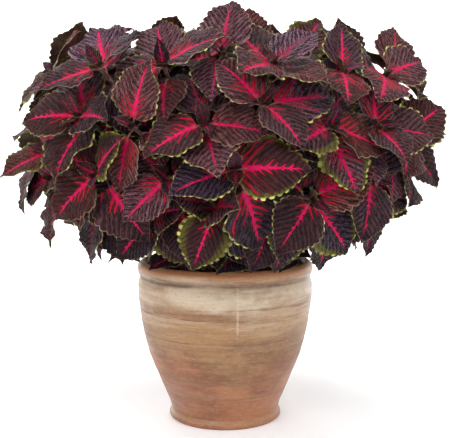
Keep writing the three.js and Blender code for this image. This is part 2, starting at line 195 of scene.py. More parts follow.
def turn_up(name, profile, sides, closed=True):
    """A turned piece: a ring of edges is extruded and resized along the profile, mm. It begins
    with a disc, and a closed one ends with one too."""
    radius, height = profile[0]
    bpy.ops.mesh.primitive_circle_add(vertices=sides, radius=radius * MM, fill_type="NGON",
                                      location=(0, 0, height * MM))
    piece = just_added(name)
    bpy.ops.object.transform_apply()
    start_editing(piece)
    bpy.ops.mesh.select_mode(type="EDGE")
    bpy.ops.mesh.select_all(action="SELECT")
    for (r0, h0), (r1, h1) in zip(profile, profile[1:]):
        bpy.ops.mesh.extrude_edges_move(TRANSFORM_OT_translate={"value": (0, 0, (h1 - h0) * MM)})
        bpy.ops.transform.resize(value=(r1 / r0, r1 / r0, 1), center_override=(0, 0, h1 * MM))
    if closed:
        bpy.ops.mesh.edge_face_add()
        bpy.ops.mesh.select_all(action="SELECT")
        bpy.ops.mesh.normals_make_consistent(inside=False)
    stop_editing()
    return piece


# ---- materials

VEIN_GAP = 0.11  # between side veins, as a share of the blade's length
TOOTH_DEPTH = 0.1


def paint(red, green, blue):
    """A colour given as it looks on a screen, 0 to 255, as the light that it reflects."""
    def light(value):
        share = value / 255
        return share / 12.92 if share <= 0.04045 else ((share + 0.055) / 1.055) ** 2.4
    return light(red), light(green), light(blue)


class Wire:
    """An output socket of a finish. Arithmetic on it adds Math nodes."""

    def __init__(self, finish, socket):
        self.finish, self.socket = finish, socket

    def __add__(self, other):
        return self.finish.math("ADD", self, other)

    def __sub__(self, other):
        return self.finish.math("SUBTRACT", self, other)

    def __rsub__(self, other):
        return self.finish.math("SUBTRACT", other, self)

    def __mul__(self, other):
        return self.finish.math("MULTIPLY", self, other)

    def __truediv__(self, other):
        return self.finish.math("DIVIDE", self, other)

    def __pow__(self, power):
        return self.finish.math("POWER", self, power)

    def __abs__(self):
        return self.finish.math("ABSOLUTE", self)


class Finish:
    """A node material, built a step at a time from wires, numbers and screen colours."""

    def __init__(self, name, roughness, specular=0.5, coat=0, coat_roughness=0.2, sheen=0):
        self.material = bpy.data.materials.new(name)
        self.material.use_nodes = True
        self.tree = self.material.node_tree
        self.surface = self.tree.nodes["Principled BSDF"].inputs
        for setting, value in (("Roughness", roughness), ("Specular IOR Level", specular),
                               ("Coat Weight", coat), ("Coat Roughness", coat_roughness),
                               ("Sheen Weight", sheen)):
            self.surface[setting].default_value = value
        self.count = 0

    def feed(self, socket, value):
        if isinstance(value, Wire):
            self.tree.links.new(value.socket, socket)
        elif value is not None:
            socket.default_value = (*paint(*value), 1) if socket.type == "RGBA" else value

    def node(self, kind, *values, **named):
        """A new node. The values feed its first inputs, names with a capital letter feed the
        inputs that they name, and the other names are its settings."""
        node = self.tree.nodes.new("ShaderNode" + kind)
        node.location = (-220 * (self.count // 6) - 300, -180 * (self.count % 6))
        self.count += 1
        for name, value in named.items():
            if name[0].isupper():
                self.feed(node.inputs[name], value)
            else:
                setattr(node, name, value)
        for socket, value in zip(node.inputs, values):
            self.feed(socket, value)
        return node

    def wire(self, output, kind, *values, **named):
        return Wire(self, self.node(kind, *values, **named).outputs[output])

    def math(self, operation, *values, clamp=False):
        return self.wire(0, "Math", *values, operation=operation, use_clamp=clamp)

    def most(self, a, b):
        return self.math("MAXIMUM", a, b)

    def ramp(self, value, low, high, out_low=0, out_high=1):
        """Rises smoothly from out_low to out_high as the value goes from low to high."""
        return self.wire(0, "MapRange", value, low, high, out_low, out_high,
                         interpolation_type="SMOOTHSTEP")

    def blend(self, share, under, over):
        mix = self.node("Mix", share, data_type="RGBA")
        self.feed(mix.inputs[6], under)
        self.feed(mix.inputs[7], over)
        return Wire(self, mix.outputs[2])

    def layers(self, colour, *coats):
        """A colour under coats, each with how much it covers of what is below and its colour."""
        for share, over in coats:
            colour = self.blend(share, colour, over)
        return colour

    def noise(self, where, scale, detail=2, roughness=0.5, distortion=0):
        """Noise whose scale may be given apart for X, Y and Z."""
        if isinstance(scale, tuple):
            where, scale = self.wire(0, "Mapping", Vector=where, Scale=scale), 1
        return self.wire("Fac", "TexNoise", Vector=where, Scale=scale, Detail=detail,
                         Roughness=roughness, Distortion=distortion)

    def cells(self, where, scale, feature="DISTANCE_TO_EDGE"):
        return self.wire("Distance", "TexVoronoi", feature=feature, Vector=where, Scale=scale)

    def draw(self, where):
        """A number from 0 to 1 that is the same wherever the vector is."""
        return self.wire("Value", "TexWhiteNoise", noise_dimensions="3D", Vector=where)

    def vector(self, x, y, z):
        return self.wire(0, "CombineXYZ", x, y, z)

    def parts(self, vector):
        return [Wire(self, output) for output in self.node("SeparateXYZ", vector).outputs]

    def attribute(self, name):
        node = self.node("Attribute", attribute_name=name)
        return (*self.parts(Wire(self, node.outputs["Vector"])), Wire(self, node.outputs["Alpha"]))

    def place(self):
        return self.wire("Object", "TexCoord")

    def bump(self, height, strength, distance):
        return self.wire(0, "Bump", Strength=strength, Distance=distance, Height=height)

    def finish(self, colour, roughness=None, normal=None):
        self.feed(self.surface["Base Color"], colour)
        self.feed(self.surface["Roughness"], roughness)
        self.feed(self.surface["Normal"], normal)
        return self.material


def leaf_patterns(f):
    """What both faces of a leaf draw on: its form, its look, and patterns that follow its veins."""
    form, look = f.attribute("blade_form"), f.attribute("blade_look")
    vein, aside, seed = form[2], form[3], look[3]
    along, across, _ = f.parts(f.wire(0, "UVMap", uv_map="blade"))
    where = f.vector(along, across, seed * 40)
    # side veins wander, and each has a draw of its own
    vein = vein + (f.noise(where, 6, 2) - 0.5) * 0.35
    on_vein = f.math("PINGPONG", vein, 0.5) * 2
    half = f.math("GREATER_THAN", across, 0.5)
    draw = f.draw(f.vector(f.math("FLOOR", vein), half, seed * 91))
    lines = f.vector(vein * 6.4, aside * 13, seed * 40)
    return form, look, (along, where, vein, on_vein, draw, lines)


def make_leaf_upper():
    f = Finish("leaf_upper", 0.5, specular=0.2)
    form, (rust_and_backlight, green, pink, seed), (along, where, vein, on_vein, draw, lines) = leaf_patterns(f)
    edge, scallop, _, aside = form
    jag = f.noise(where, 30, 4, 0.7) - 0.5
    beads = f.noise(lines, (1.3, 4, 1), 2, 0.6)
    fine = f.noise(lines, 1, 2, 0.6) * 0.56 + beads * 0.44
    broad = f.noise(where, 4.5, 2)

    # The blade, from black plum to rust-brown that partly stands for painted backlit glow, with
    # painted lilac sheen threads on the ridges between its side veins.
    warm = f.math("ADD", broad * 1.4 - 0.8, rust_and_backlight, clamp=True)
    ridge = (0.5 - on_vein) * 0.12 + fine  # highest midway between two side veins
    # painted sheen: lilac-grey highlights on the ridges, as strong as the leaf's seed lets them be
    sheen_threads = f.ramp(ridge, 0.46, 0.62) * f.ramp(seed, 0, 1, 0.2, 1)
    sheen_threads = sheen_threads * f.ramp(rust_and_backlight, 0.25, 0.95, 0.9, 0.6)

    # Pink on the midrib and on the side veins, which are longest and merge near the base.
    start = (vein - 0.5) * VEIN_GAP
    reach = f.ramp(start, -0.1, 0.55, 0.36, 0.06) * f.ramp(draw, 0, 1, 0.3, 1.12)
    reach = reach * (pink * 0.9 + 0.35)
    inward = f.most(1 - aside / reach, 0)
    width = inward * 0.42 + f.ramp(draw, 0, 1, 0.16, 0.34)
    side = f.ramp(on_vein - (1 - width) + jag * 0.75, 0, 0.2)
    side = side * f.ramp(inward + jag * 0.4, 0.02, 0.16) * f.ramp(start, 0.85, 0.7)
    core = f.ramp(along, 0, 0.5, 0.045, 0.017) * f.ramp(along, 0.5, 0.97, 1, 0.25)
    core = core * f.ramp(pink, 0.05, 0.5, 0.5, 1)
    rib = f.ramp(core * (jag * 3.2 + 1.1) - aside, -0.002, 0.005) * f.ramp(along, 0.95, 0.78)
    lit = f.most(side, rib) * f.ramp(pink, 0, 0.35, 0.55, 1)
    glow = f.blend(f.ramp(aside + jag * 0.05, 0.075, 0.01), (192, 6, 42), (236, 12, 98))
    near_base = along * 0.8 + (aside + jag * 0.2)
    flush = f.ramp(near_base, 0.3, 0.06) * f.ramp(pink, 0.3, 1, 0, 0.75)

    # Its edge is thin and pale, and on many leaves every scallop ends in a green pip.
    margin = green**2 * 0.24
    tinge = f.ramp(edge + jag * (margin + 0.04), 0.97 - margin * 1.9, 1 - margin)
    tinge = tinge * f.ramp(green, 0.4, 0.75, 0, 0.9) * f.ramp(ridge, 0.4, 0.6, 0.35, 1)
    depth = margin * 0.5 + 0.05
    pips = f.ramp(edge + jag * 0.07, 1 - depth, 1.01 - depth * 0.55)
    pips = pips * f.ramp(scallop + jag * 0.9, 0.45, 0.8)
    pips = pips * f.ramp(f.noise(where, 5.5, 1), 0.38, 0.56, 0.15, 1)
    pips = pips * f.ramp(green + broad * 0.3, 0.3, 0.5)
    lime = f.blend(f.ramp(f.noise(where, 12), 0.35, 0.65), (134, 146, 50), (216, 214, 124))

    blade = f.layers(
        f.blend(warm, (10, 2, 8), (50, 12, 10)),
        (sheen_threads, f.blend(rust_and_backlight, (142, 104, 134), (154, 88, 76))),
        (flush, (104, 6, 36)),
        (f.ramp(lit, 0, 0.5, 0, 0.75), (104, 7, 34)),
        (f.ramp(lit, 0.35, 1) * (broad * 0.5 + 0.55), glow),
        (f.ramp(edge + jag * 0.05, 0.955, 0.995) * 0.6, (166, 140, 112)),
        (tinge, f.blend(broad, (96, 104, 22), (88, 66, 26))),
        (pips, lime),
    )
    puffs = f.ramp(f.cells(lines, 1.3), 0, 0.4)
    height = puffs * 0.3 + (fine + on_vein**2 * -0.9)
    return f.finish(blade, f.ramp(ridge, 0.42, 0.66, 0.66, 0.34), f.bump(height, 1, 0.0015))


def make_leaf_under():
    f = Finish("leaf_under", 0.6, specular=0.2)
    (edge, scallop, _, aside), (_, green, _, _), patterns = leaf_patterns(f)
    along, where, _, on_vein, _, lines = patterns
    jag = f.noise(where, 30, 3, 0.6) - 0.5
    mottle = f.noise(lines, 0.9, 3, 0.6)
    greener = f.ramp(f.noise(where, 5, 2), 0.3, 0.6) * f.ramp(green, 0, 0.9, 0.25, 0.9)
    net = f.ramp(f.cells(lines, 1.1), 0.12, 0.02)
    veins = f.ramp(on_vein + jag * 0.3, 0.74, 0.92) * f.ramp(aside, 0.34, 0.05, 0.3, 1)
    rib = f.ramp(f.ramp(along, 0, 1, 0.026, 0.004) - aside, -0.002, 0.006)
    depth = green**2 * 0.2 + 0.05
    pips = f.ramp(edge + jag * 0.1, 1 - depth, 1.01 - depth * 0.5) * f.ramp(green, 0.1, 0.25)
    blade = f.layers(
        f.blend(f.ramp(mottle, 0.36, 0.62), (44, 18, 27), (92, 60, 62)),
        (greener * f.ramp(mottle, 0.3, 0.6, 0.3, 1), (98, 110, 62)),
        (net * 0.4, (34, 14, 20)),
        (veins * 0.7, (146, 40, 66)),
        (rib, (186, 46, 84)),
        (pips * scallop, (136, 148, 82)),
    )
    return f.finish(blade, None, f.bump(on_vein * 0.6 + net * 0.5, 0.8, 0.0012))


def make_stem_skin():
    f = Finish("stem_skin", 0.5, specular=0.45, sheen=0.15)
    youth = f.attribute("blade_look")[2]
    place = f.place()
    streaks = f.noise(place, (420, 420, 60), 3)
    old = f.blend(f.ramp(streaks, 0.35, 0.65), (70, 34, 42), (96, 84, 48))
    young = f.blend(f.ramp(streaks, 0.3, 0.7), (150, 40, 70), (118, 104, 62))
    speckle = f.noise(place, 900, 2)
    skin = f.layers(old, (youth, young), (f.ramp(speckle, 0.55, 0.75, 0, 0.35), (120, 96, 84)))
    return f.finish(skin, None, f.bump(speckle, 0.3, 0.0004))


def make_terracotta():
    f = Finish("terracotta", 0.45, coat=0.18, coat_roughness=0.28)
    place = f.place()
    x, y, z = f.parts(place)
    clouds = f.noise(place, (7, 7, 20), 4, 0.62)
    patches = f.noise(place, (9, 9, 13), 5, 0.7)
    bands = f.noise(place, (1.8, 1.8, 44), 4, 0.62, 0.2)
    streaks = f.noise(place, (7, 7, 90), 5, 0.66)
    brushed = f.noise(place, (9, 9, 520), 4, 0.7)
    mottle = f.noise(place, (120, 120, 210), 4, 0.7)
    height = z + (clouds - 0.5) * 0.06

    # Red-brown below, tan above, and a tan splash that runs down the front.
    red = f.blend(f.ramp(patches, 0.38, 0.62), (128, 74, 46), (162, 104, 68))
    tan = f.blend(f.ramp(patches, 0.4, 0.6), (124, 86, 53), (151, 111, 71))
    splash = height + f.ramp(abs(x - 0.015), 0.075, 0) * 0.045
    bloom = f.ramp(bands + (patches - 0.5) * 0.9, 0.56, 0.4) * f.ramp(height, 0.14, 0.2)
    collar = f.ramp(height, 0.19, 0.206) * f.ramp(height, 0.236, 0.224)
    # The band of the groove under the rim, which is darkened as painted shade.
    painted_groove_shade = f.ramp(z, 0.2255, 0.2305) * f.ramp(z, 0.242, 0.2325)
    foot = f.ramp(z, 0.006, 0.009) * f.ramp(z, 0.017, 0.012)
    # A thin pale vertical line down the front that wobbles a little: a painted reflection of a
    # studio lamp.
    weave = (f.noise(place, 22, 2) - 0.5) * 0.006
    painted_reflection_line = (f.ramp(abs(x - 0.019 + weave), 0.0026, 0.0004)
                * (f.ramp(z, 0.14, 0.175) * f.ramp(z, 0.232, 0.226))
                * (f.ramp(y, 0, -0.02) * f.ramp(mottle, 0.38, 0.58, 0.05, 0.55)))
    wander = (f.noise(place, 5, 2) - 0.5) * 0.006
    lines = reduce(f.most, [
        f.ramp(abs(z + wander - line * MM), 0.0014, 0.0001) * (depth * 1.2)
        for line, depth in THROWING_LINES
    ])
    broken = f.ramp(f.noise(place, (16, 16, 50), 3), 0.42, 0.56)
    pitted = (f.ramp(f.cells(place, 330, "F1"), 0, 0.3, 1, 0)
              * f.ramp(f.noise(place, 40, 2), 0.5, 0.66))
    inside = f.ramp(f.math("SQRT", x * x + y * y), 0.13, 0.124) * f.ramp(z, 0.19, 0.2)

    clay = f.layers(
        red,
        (f.ramp(splash, 0.1, 0.135), tan),
        (f.ramp(bands, 0.5, 0.62) * 0.7, (122, 80, 52)),
        # chalky bloom on the shoulder and the collar
        (bloom * 0.8, (176, 151, 124)),
        (collar * f.ramp(patches, 0.35, 0.6, 0.95, 0.3), (202, 185, 162)),
        # the top of the rim, painted shade in the groove under it, and the foot
        (f.ramp(z, 0.238, 0.248) * 0.85, (184, 122, 80)),
        (painted_groove_shade * f.ramp(clouds, 0.35, 0.6, 0.45, 0.9), (88, 62, 44)),
        (foot * f.ramp(clouds, 0.3, 0.6, 0.7, 0.3), (168, 137, 101)),
        (f.ramp(z, 0.006, 0.003) * 0.7, (148, 82, 52)),
        # streaks that the hands left, fine brushing, a painted reflection line down the front, and
        # specks
        (f.ramp(streaks, 0.5, 0.62) * f.ramp(height, 0.12, 0.2, 0.1, 0.5), (196, 170, 138)),
        (f.ramp(streaks, 0.48, 0.36) * 0.24, (108, 68, 43)),
        (f.ramp(brushed, 0.54, 0.7) * 0.3, (186, 156, 122)),
        (f.ramp(brushed, 0.44, 0.3) * 0.24, (96, 62, 40)),
        (painted_reflection_line, (206, 188, 164)),
        (f.ramp(mottle, 0.5, 0.72) * 0.35, (180, 146, 112)),
        (f.ramp(mottle, 0.46, 0.3) * 0.3, (100, 66, 42)),
        (lines * broken, (79, 50, 33)),
        (pitted * 0.55, (89, 56, 40)),
        (inside * 0.5, (120, 75, 49)),
    )
    roughness = f.ramp(clouds + (brushed - 0.5) * 0.4, 0.35, 0.65, 0.34, 0.6)
    relief = brushed * 0.4 + (pitted * -0.8 + mottle * 0.4)
    return f.finish(clay, roughness, f.bump(relief, 0.4, 0.0008))


def make_compost():
    f = Finish("compost", 0.92, specular=0.2)
    place = f.place()
    grain, clumps = f.noise(place, 190, 4, 0.7), f.noise(place, 38, 2)
    fibres = f.ramp(f.noise(place, (900, 120, 300), 2), 0.68, 0.76)
    earth = f.layers(f.blend(f.ramp(grain, 0.35, 0.7), (30, 21, 16), (74, 54, 40)),
                     (f.ramp(clumps, 0.5, 0.7) * 0.6, (52, 36, 26)),
                     (fibres * 0.7, (132, 102, 70)))
    return f.finish(earth, None, f.bump(grain + clumps, 0.8, 0.002))


def make_crumb():
    f = Finish("bark_crumb", 0.85, specular=0.25)
    place = f.place()
    grain, patch = f.noise(place, 320, 3), f.noise(place, 60, 1)
    bark = f.layers(f.blend(f.ramp(patch, 0.4, 0.62), (44, 29, 20), (98, 66, 42)),
                    (f.ramp(grain, 0.5, 0.7) * 0.5, (128, 94, 64)))
    return f.finish(bark, None, f.bump(grain, 0.6, 0.0012))


def make_backdrop_paint():
    f = Finish("backdrop_paint", 0.9, specular=0.1)
    f.surface["Emission Color"].default_value = (1, 1, 1, 1)
    f.surface["Emission Strength"].default_value = 0.16
    cloud = f.noise(f.place(), 1.5, 2)
    return f.finish(f.blend(cloud, (249.9, 249.9, 250.5), (251.6, 251.6, 252.2)))


LEAF_UPPER, LEAF_UNDER, STEM_SKIN = make_leaf_upper(), make_leaf_under(), make_stem_skin()
TERRACOTTA, COMPOST, CRUMB = make_terracotta(), make_compost(), make_crumb()

# ---- pot


def thrown(point):
    """The wall's radius with the ridges and lines that throwing leaves on it."""
    radius, height = point
    if not THROWN_WALL[0] < height < THROWN_WALL[1]:
        return radius, height
    fine = 0.35 * math.sin(height / 3.1 + 1.7 * math.sin(height / 23))
    ridges = fine + 0.25 * math.sin(height / 7.3)
    cuts = sum(depth * math.exp(-(((height - line) / 1.3) ** 2)) for line, depth in THROWING_LINES)
    return radius - 0.3 + ridges * 0.6 - cuts, height


def make_pot():
    """One turned wall with thrown ridges, a rolled rim and three drainage holes."""
    foot = smooth_line(POT_OUTSIDE[:5], 1.6)
    body = [thrown(point) for point in smooth_line(POT_OUTSIDE[4:10], 2.6)]
    rim = smooth_line([*POT_OUTSIDE[9:], (129, 253), POT_INSIDE[0]], 1.4)
    inside = smooth_line(POT_INSIDE, 9)
    pot = turn_up("terracotta_pot", [*foot[:-1], *body[:-1], *rim[:-1], *inside], 112)
    start_editing(pot)
    bpy.ops.mesh.select_mode(type="FACE")
    stop_editing()
    for face in pot.data.polygons:  # the two discs, under the foot and on the floor inside
        face.select = len(face.vertices) > 4
    bpy.ops.object.mode_set(mode="EDIT")
    bpy.ops.mesh.inset(thickness=0.02, use_even_offset=False)
    stop_editing()
    apply_modifier(pot, "DISPLACE", texture=hand_wobble(), strength=0.0011, mid_level=0.5,
                   direction="NORMAL", vertex_group=wall_group(pot))
    for turn in (0, 120, 240):
        x, y = DRAIN_RING * math.sin(rad(turn)), DRAIN_RING * math.cos(rad(turn))
        bpy.ops.mesh.primitive_cylinder_add(vertices=20, radius=DRAIN_RADIUS * MM, depth=60 * MM,
                                            location=(x * MM, y * MM, 0))
        drill = just_added("drill")
        apply_modifier(pot, "BOOLEAN", operation="DIFFERENCE", object=drill, solver="EXACT")
        bpy.data.objects.remove(drill)
    smooth_by_angle(pot, 38)
    pot.data.materials.clear()
    pot.data.materials.append(TERRACOTTA)
    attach(pot, "root")
    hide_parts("pot")


def hand_wobble():
    texture = bpy.data.textures.new("hand_wobble", "CLOUDS")
    texture.noise_scale = 0.09
    texture.noise_depth = 1
    return texture


def wall_group(pot):
    """The vertices above the foot and below the rim, which the potter's hands leave uneven."""
    group = pot.vertex_groups.new(name="wall")
    group.add([v.index for v in pot.data.vertices
               if 0.02 < v.co.z < 0.25 and math.hypot(v.co.x, v.co.y) > 0.087], 1, "ADD")
    return group.name


make_pot()

# ---- soil


def pot_inside_radius(height):
    for (r1, h1), (r0, h0) in zip(POT_INSIDE, POT_INSIDE[1:]):
        if h0 <= height <= h1:
            return r0 + (r1 - r0) * (height - h0) / (h1 - h0)
    return POT_INSIDE[0][0]


def soil_height(x, y):
    """The crumbly surface's height in mm at a place in mm."""
    share = min(1, math.hypot(x, y) / SOIL_RADIUS)
    lumps = (noise.noise(Vector((x / 13, y / 13, 3))) * 2.2
             + noise.noise(Vector((x / 4.2, y / 4.2, 9))) * 1.3)
    return SOIL_TOP + SOIL_CROWN * (1 - share) - 1.6 + lumps


def make_soil():
    """A body of soil that fills the pot, with crumbs of bark on its crown."""
    levels, rings = (18.6, 60, 105, 150, 190, 215, SOIL_TOP - 3), 44
    wall = [(pot_inside_radius(h) - 0.5, h) for h in levels]
    top = [(wall[-1][0] * (1 - i / rings), SOIL_TOP) for i in range(1, rings)]
    soil = turn_up("potting_soil", [*wall, *top], 96)
    places = places_of(soil.data)
    crown = places[:, 2] > (SOIL_TOP - 1) * MM
    places[crown, 2] = [soil_height(x / MM, y / MM) * MM for x, y in places[crown, :2]]
    set_places(soil.data, places)
    smooth_by_angle(soil, 60)
    soil.data.materials.append(COMPOST)

    crumbs = []
    rng = np.random.RandomState(7)
    masters = [crumb_master(i) for i in range(4)]
    for i in range(CRUMBS):
        r, a = CRUMB_SPREAD * math.sqrt(rng.rand()), 2 * math.pi * rng.rand()
        x, y = r * math.cos(a), r * math.sin(a)
        size = rng.uniform(1.3, 4.2)
        turn = (Matrix.Rotation(rng.uniform(0, 6.28), 4, "Z")
                @ Matrix.Rotation(rng.uniform(-0.7, 0.7), 4, "X"))
        spot = Matrix.Translation(Vector((x, y, soil_height(x, y) + 0.2 * size)) * MM)
        crumb = copy_of(masters[i % len(masters)], f"crumb_{i}")
        crumb.data.transform(spot @ turn @ Matrix.Diagonal(
            (size * MM * rng.uniform(0.8, 1.9), size * MM, size * MM * rng.uniform(0.35, 0.8), 1)))
        crumbs.append(crumb)
    for master in masters:
        bpy.data.objects.remove(master)
    soil = join_pieces([soil, *crumbs], "potting_soil")
    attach(soil, "root")
    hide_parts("soil")


def crumb_master(index):
    bpy.ops.mesh.primitive_ico_sphere_add(subdivisions=2, radius=1, location=(0, 0, 0))
    master = just_added(f"crumb_master_{index}")
    places = places_of(master.data)
    for i, p in enumerate(places):
        places[i] = p * (1 + 0.45 * noise.noise(Vector(p) * 1.3 + Vector((7 * index, 0, 0))))
    set_places(master.data, places)
    apply_modifier(master, "DECIMATE", ratio=0.55)
    smooth_by_angle(master, 50)
    master.data.materials.append(CRUMB)
    return master


make_soil()

# ---- how the plant grew


def seeded(seed):
    """The draw that the growth rules make for a seed, from 0 to 1."""
    low = 0xFFFFFFFF
    t = (seed + 0x6D2B79F5) & low
    t = ((t ^ (t >> 15)) * (t | 1)) & low
    t ^= (t + (((t ^ (t >> 7)) * (t | 61)) & low)) & low
    return (t ^ (t >> 14)) / 4294967296


def jitter(shoot, leaf, use):
    return 2 * seeded(7919 * shoot + 131 * leaf + 17 * use + 5) - 1


def direction(bearing, elevation):
    b, e = rad(bearing), rad(elevation)
    return Vector((math.sin(b) * math.cos(e), -math.cos(b) * math.cos(e), math.sin(e)))


def on_plane(vector, normal):
    return (vector - normal * vector.dot(normal)).normalized()


def shoot_tip(bearing, turn, elevation, index):
    out = direction(bearing + turn, elevation)
    height, power = MOUND_ABOVE if elevation > 0 else MOUND_BELOW
    flat = (math.hypot(out.x, out.y) / MOUND_RADIUS) ** power
    reach = (flat + (abs(out.z) / height) ** power) ** (-1 / power)
    tip = out * (reach * (1 + 0.04 * jitter(index, 0, 1))) + UP * MOUND_MIDDLE
    ahead = direction(FRONTWARD * bearing + turn, elevation)
    return tip, (ahead + SKYWARD * UP).normalized()


def grow_stems():
    stems, index = [], 0
    for turn, ((bearing, radius), entries) in itertools.product((0, 180), FRONT_STEMS):
        outward = direction(bearing + turn, 0)
        shoots = []
        ranked = sorted(entries, key=lambda entry: entry[1])
        for nth, (shoot_bearing, elevation, spin, size) in enumerate(ranked):
            tip, axis = shoot_tip(shoot_bearing, turn, elevation, index)
            above = on_plane(UP, axis)
            shoots.append({
                "stem": len(stems) + 1, "index": index, "tip": tip, "axis": axis, "above": above,
                "beside": axis.cross(above), "size": size,
                "spin": spin + (BACK_SPIN if turn else 0),
                "level": 2 if nth == len(entries) - 1 else nth // 2,
            })
            index += 1
        stems.append({"foot": outward * radius, "outward": outward, "shoots": shoots})
    return stems


def leaf_pose(shoot, pair, side, lift=0, swing=0, size=1, rules=None):
    span, blade, width, petiole, rise, spread, arch, droops = rules or PAIRS[pair]
    leaf = 2 * pair + side
    tip, axis, above, beside = (shoot[k] for k in ("tip", "axis", "above", "beside"))

    def vary(use):
        return jitter(shoot["index"], leaf, use)

    turn = rad(shoot["spin"] + 90 * pair + 180 * side + 9 * vary(2) + swing)
    outward = above * math.cos(turn) + beside * math.sin(turn)

    def leaning(angle):
        return axis * math.cos(rad(angle)) + outward * math.sin(rad(angle))

    node = tip - axis * ((span[0] + span[1]) / 2)
    stalk = petiole * shoot["size"] * (1 + 0.25 * vary(3))
    base = node + leaning(rise + 0.6 * lift) * stalk
    held = spread * (1 - UPRIGHT * axis.z**2) if droops else spread
    along = (leaning(held + lift + 6 * vary(4)) - (DROOP if droops else 0) * UP).normalized()
    facing = on_plane(axis * 0.8 + UP * 0.35, along)
    roll = rad(13 * vary(5))
    return {
        "node": node, "outward": outward, "base": base, "along": along,
        "facing": facing * math.cos(roll) + along.cross(facing) * math.sin(roll),
        "length": blade * shoot["size"] * size * (1 + 0.1 * vary(6)),
        "width": width, "arch": rad(arch * (1 + 0.45 * vary(7))),
    }


def blade_places(pose, u, v, rise):
    """Where points of a flat blade lie on the bent and folded one, in mm. u is the share of the
    way from base to tip, v the share of the length across, and rise the height above it in mm."""
    along, facing = np.array(pose["along"]), np.array(pose["facing"])
    across, length, arch = np.cross(along, facing), pose["length"], pose["arch"]
    aside = np.abs(v)
    fold = aside * math.tan(rad(FOLD)) * (1 - aside / 0.62)
    turn = arch * (u - 0.2 * aside * (1 - u) ** 4)
    sin, cos, lifted = np.sin(turn), np.cos(turn), length * fold + rise
    return (
        np.array(pose["base"])
        + np.outer(length * sin / arch + lifted * sin, along)
        + np.outer(-length * (1 - cos) / arch + lifted * cos, facing)
        + np.outer(v * length, across)
    )


def blade_tip(pose):
    length, arch = pose["length"], pose["arch"]
    return (pose["base"] + pose["along"] * (length * math.sin(arch) / arch)
            - pose["facing"] * (length * (1 - math.cos(arch)) / arch))


def find_leaves(stems):
    """The pose that each leaf of the solids has: the first candidate whose tip is a corner of its
    stem's solid. A leaf without one was left out there too."""
    found = []
    for number, stem in enumerate(stems, 1):
        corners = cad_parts[f"leafy_stem_{number:02d}"].data.vertices
        tree = KDTree(len(corners))
        for i, corner in enumerate(corners):
            tree.insert(corner.co / MM, i)
        tree.balance()
        for shoot, pair, side in itertools.product(stem["shoots"], range(len(PAIRS)), range(2)):
            for size, swing, lift in itertools.product(SIZES, SWINGS, LIFTS):
                pose = leaf_pose(shoot, pair, side, lift, swing, size)
                if tree.find(blade_tip(pose))[2] < SAME_CORNER:
                    found.append({"shoot": shoot, "pair": pair, "side": side, "pose": pose})
                    break
    return found


stems = grow_stems()
shoots = [shoot for stem in stems for shoot in stem["shoots"]]
leaves = find_leaves(stems)

# ---- leaf masters

LEAF_LENGTH = 84  # the length at which a master's heights are in mm


def half_width(u):
    """A blade's half-width at a share u of its length, from 0 to 1."""
    return np.sin(np.pi * np.clip(u, 0, 1) ** 0.65) ** (0.8 + 0.5 * u * u)


def edge_rows(count, width):
    """Shares u of the way up the blade that are evenly spaced along its edge."""
    u = np.linspace(0, 1, 2000)
    v = width * half_width(u)
    run = np.concatenate([[0], np.cumsum(np.hypot(np.diff(u), np.diff(v)))])
    return np.interp(np.linspace(0, run[-1], count + 1), run, u)


